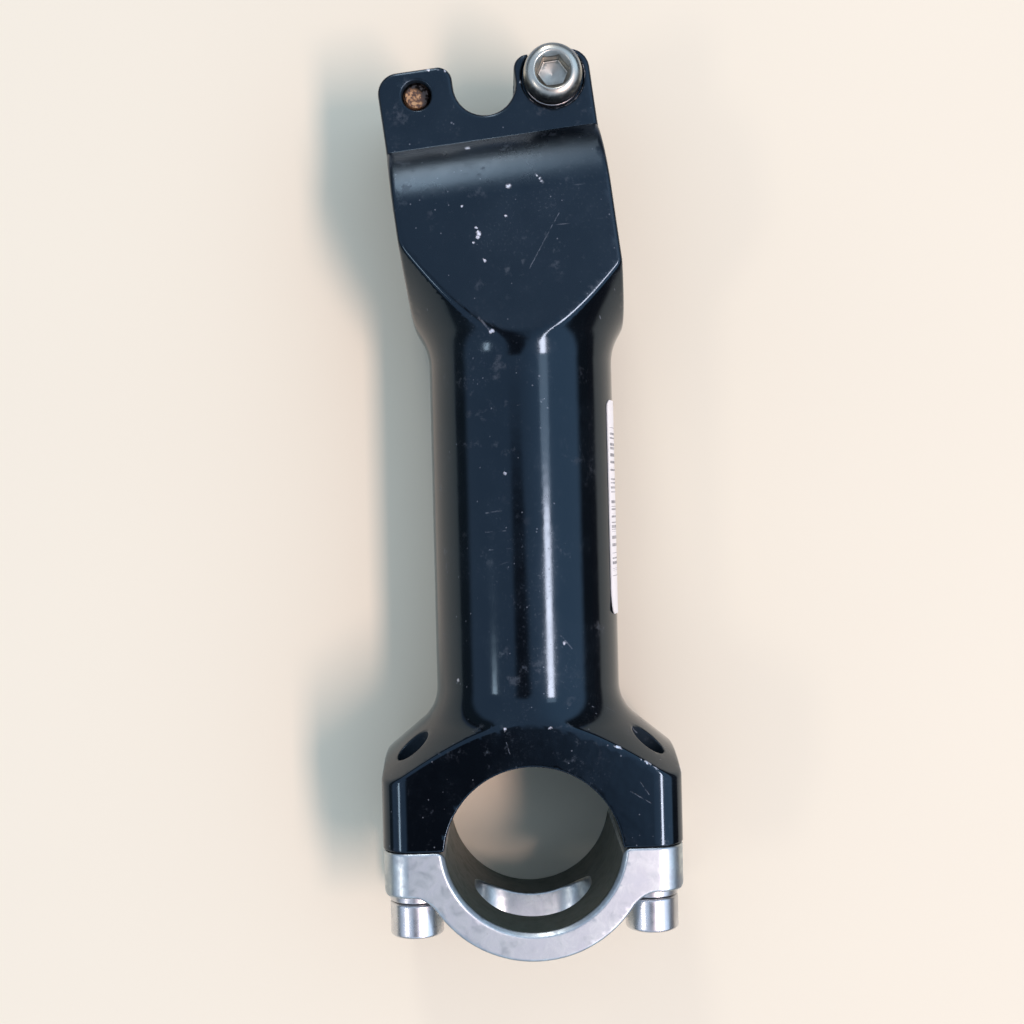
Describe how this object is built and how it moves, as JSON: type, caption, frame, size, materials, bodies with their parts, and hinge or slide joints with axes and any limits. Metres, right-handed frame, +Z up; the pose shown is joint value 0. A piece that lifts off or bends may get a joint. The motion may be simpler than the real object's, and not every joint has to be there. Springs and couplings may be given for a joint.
{
  "type": "handlebar stem",
  "caption": "Bicycle handlebar stem with a split steerer clamp on a round tapering extension and a bolted faceplate that clamps the handlebar.",
  "frame": {"origin": "centre of the bounding box's bottom, with the stem lying on the side of its bar clamp", "axes": "+X along the extension from the steerer clamp to the bar clamp, +Y towards the stem's underside, +Z up along the handlebar's axis"},
  "size_m": [0.1642, 0.054, 0.037],
  "materials": {
    "black_paint": "gloss black paint over forged aluminium, worn along its edges",
    "bare_aluminium": "worn, mottled bare aluminium",
    "bolts": "bright plated steel",
    "washers": "plated steel",
    "label": "white sticker with plain grey bars"
  },
  "bodies": {
    "stem": {"stem_body": "black_paint", "label": "label"},
    "faceplate": {"faceplate": "bare_aluminium", "faceplate_washer_1": "washers", "faceplate_washer_2": "washers", "faceplate_washer_3": "washers", "faceplate_washer_4": "washers"},
    "face_bolt_1": {"faceplate_bolt_1": "bolts"},
    "face_bolt_2": {"faceplate_bolt_2": "bolts"},
    "face_bolt_3": {"faceplate_bolt_3": "bolts"},
    "face_bolt_4": {"faceplate_bolt_4": "bolts"},
    "pinch_washer_left": {"steerer_washer_left": "washers"},
    "pinch_bolt_left": {"steerer_bolt_left": "bolts"},
    "pinch_washer_right": {"steerer_washer_right": "washers"},
    "pinch_bolt_right": {"steerer_bolt_right": "bolts"}
  },
  "joints": [
    {"name": "faceplate_travel", "type": "slide", "parent": "stem", "child": "faceplate", "axis": [1, 0, 0], "range_m": [0, 0.008]},
    {"name": "face_bolt_turn_1", "type": "hinge", "parent": "faceplate", "child": "face_bolt_1", "pos_m": [0.07039, -0.02135, 0.0295], "axis": [1, 0, 0], "range_deg": [0, 2880]},
    {"name": "face_bolt_turn_2", "type": "hinge", "parent": "faceplate", "child": "face_bolt_2", "pos_m": [0.07039, 0.02135, 0.0295], "axis": [1, 0, 0], "range_deg": [0, 2880]},
    {"name": "face_bolt_turn_3", "type": "hinge", "parent": "faceplate", "child": "face_bolt_3", "pos_m": [0.07039, 0.02135, 0.0075], "axis": [1, 0, 0], "range_deg": [0, 2880]},
    {"name": "face_bolt_turn_4", "type": "hinge", "parent": "faceplate", "child": "face_bolt_4", "pos_m": [0.07039, -0.02135, 0.0075], "axis": [1, 0, 0], "range_deg": [0, 2880]},
    {"name": "pinch_travel_left", "type": "slide", "parent": "stem", "child": "pinch_washer_left", "axis": [0, 0, 1], "range_m": [0, 0.008]},
    {"name": "pinch_turn_left", "type": "hinge", "parent": "pinch_washer_left", "child": "pinch_bolt_left", "pos_m": [-0.07679, 0.00696, 0.0275], "axis": [0, 0, 1], "range_deg": [0, 2880]},
    {"name": "pinch_travel_right", "type": "slide", "parent": "stem", "child": "pinch_washer_right", "axis": [0, 0, -1], "range_m": [0, 0.008]},
    {"name": "pinch_turn_right", "type": "hinge", "parent": "pinch_washer_right", "child": "pinch_bolt_right", "pos_m": [-0.07375, -0.01785, 0.0095], "axis": [0, 0, -1], "range_deg": [0, 2880]}
  ],
  "couplings": [
    {"joint": "face_bolt_turn_1", "follows": "faceplate_travel", "rad_per_m": 6283},
    {"joint": "face_bolt_turn_2", "follows": "faceplate_travel", "rad_per_m": 6283},
    {"joint": "face_bolt_turn_3", "follows": "faceplate_travel", "rad_per_m": 6283},
    {"joint": "face_bolt_turn_4", "follows": "faceplate_travel", "rad_per_m": 6283},
    {"joint": "pinch_turn_left", "follows": "pinch_travel_left", "rad_per_m": 6283},
    {"joint": "pinch_turn_right", "follows": "pinch_travel_right", "rad_per_m": 6283}
  ]
}
